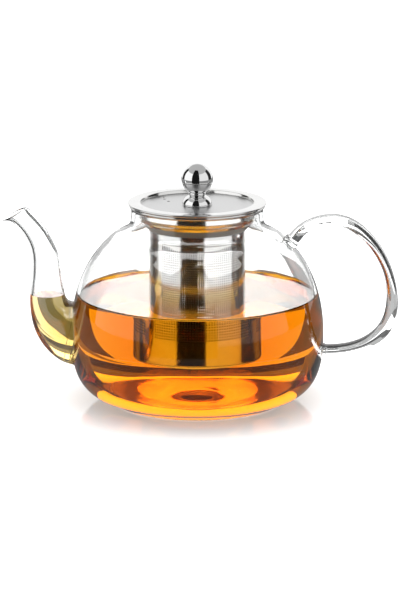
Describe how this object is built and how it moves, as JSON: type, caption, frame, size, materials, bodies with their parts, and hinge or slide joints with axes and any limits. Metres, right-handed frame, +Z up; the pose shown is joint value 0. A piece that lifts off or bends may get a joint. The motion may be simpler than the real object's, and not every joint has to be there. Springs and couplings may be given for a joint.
{
  "type": "glass teapot",
  "caption": "Clear glass teapot with a swan-neck spout and loop handle, a hanging steel strainer basket and a lift-off steel lid with a ball knob.",
  "frame": {"origin": "centre of the flat foot of the glass body, on the pot's axis", "axes": "+Z up along the pot's axis, +X towards the handle, so the spout points along -X"},
  "size_m": [0.2192, 0.14, 0.1336],
  "materials": {
    "borosilicate_glass": "clear, fire polished",
    "polished_steel": "polished stainless steel",
    "strainer_steel": "bright stainless steel sheet, finely perforated",
    "satin_steel": "satin disc with a polished flange",
    "mirror_steel": "mirror polished",
    "plain_steel": "as turned"
  },
  "bodies": {
    "glass_pot": {"glass_body": "borosilicate_glass", "spout": "borosilicate_glass", "spout_weld_ring": "borosilicate_glass", "handle": "borosilicate_glass", "handle_upper_pad": "borosilicate_glass", "handle_lower_pad": "borosilicate_glass"},
    "basket": {"basket_collar": "polished_steel", "basket_sleeve": "strainer_steel", "basket_base": "polished_steel", "collar_spot_welds": "polished_steel", "base_spot_welds": "polished_steel"},
    "lid": {"lid_plate": "satin_steel", "lid_skirt": "polished_steel", "knob_bell": "mirror_steel", "knob_collar": "mirror_steel", "knob_ball": "mirror_steel", "knob_washer": "plain_steel", "knob_screw": "plain_steel"}
  },
  "joints": [
    {"name": "basket_lift", "type": "slide", "parent": "glass_pot", "child": "basket", "axis": [0, 0, 1], "range_m": [0, 0.1]},
    {"name": "lid_lift", "type": "slide", "parent": "basket", "child": "lid", "axis": [0, 0, 1], "range_m": [0, 0.04]}
  ]
}
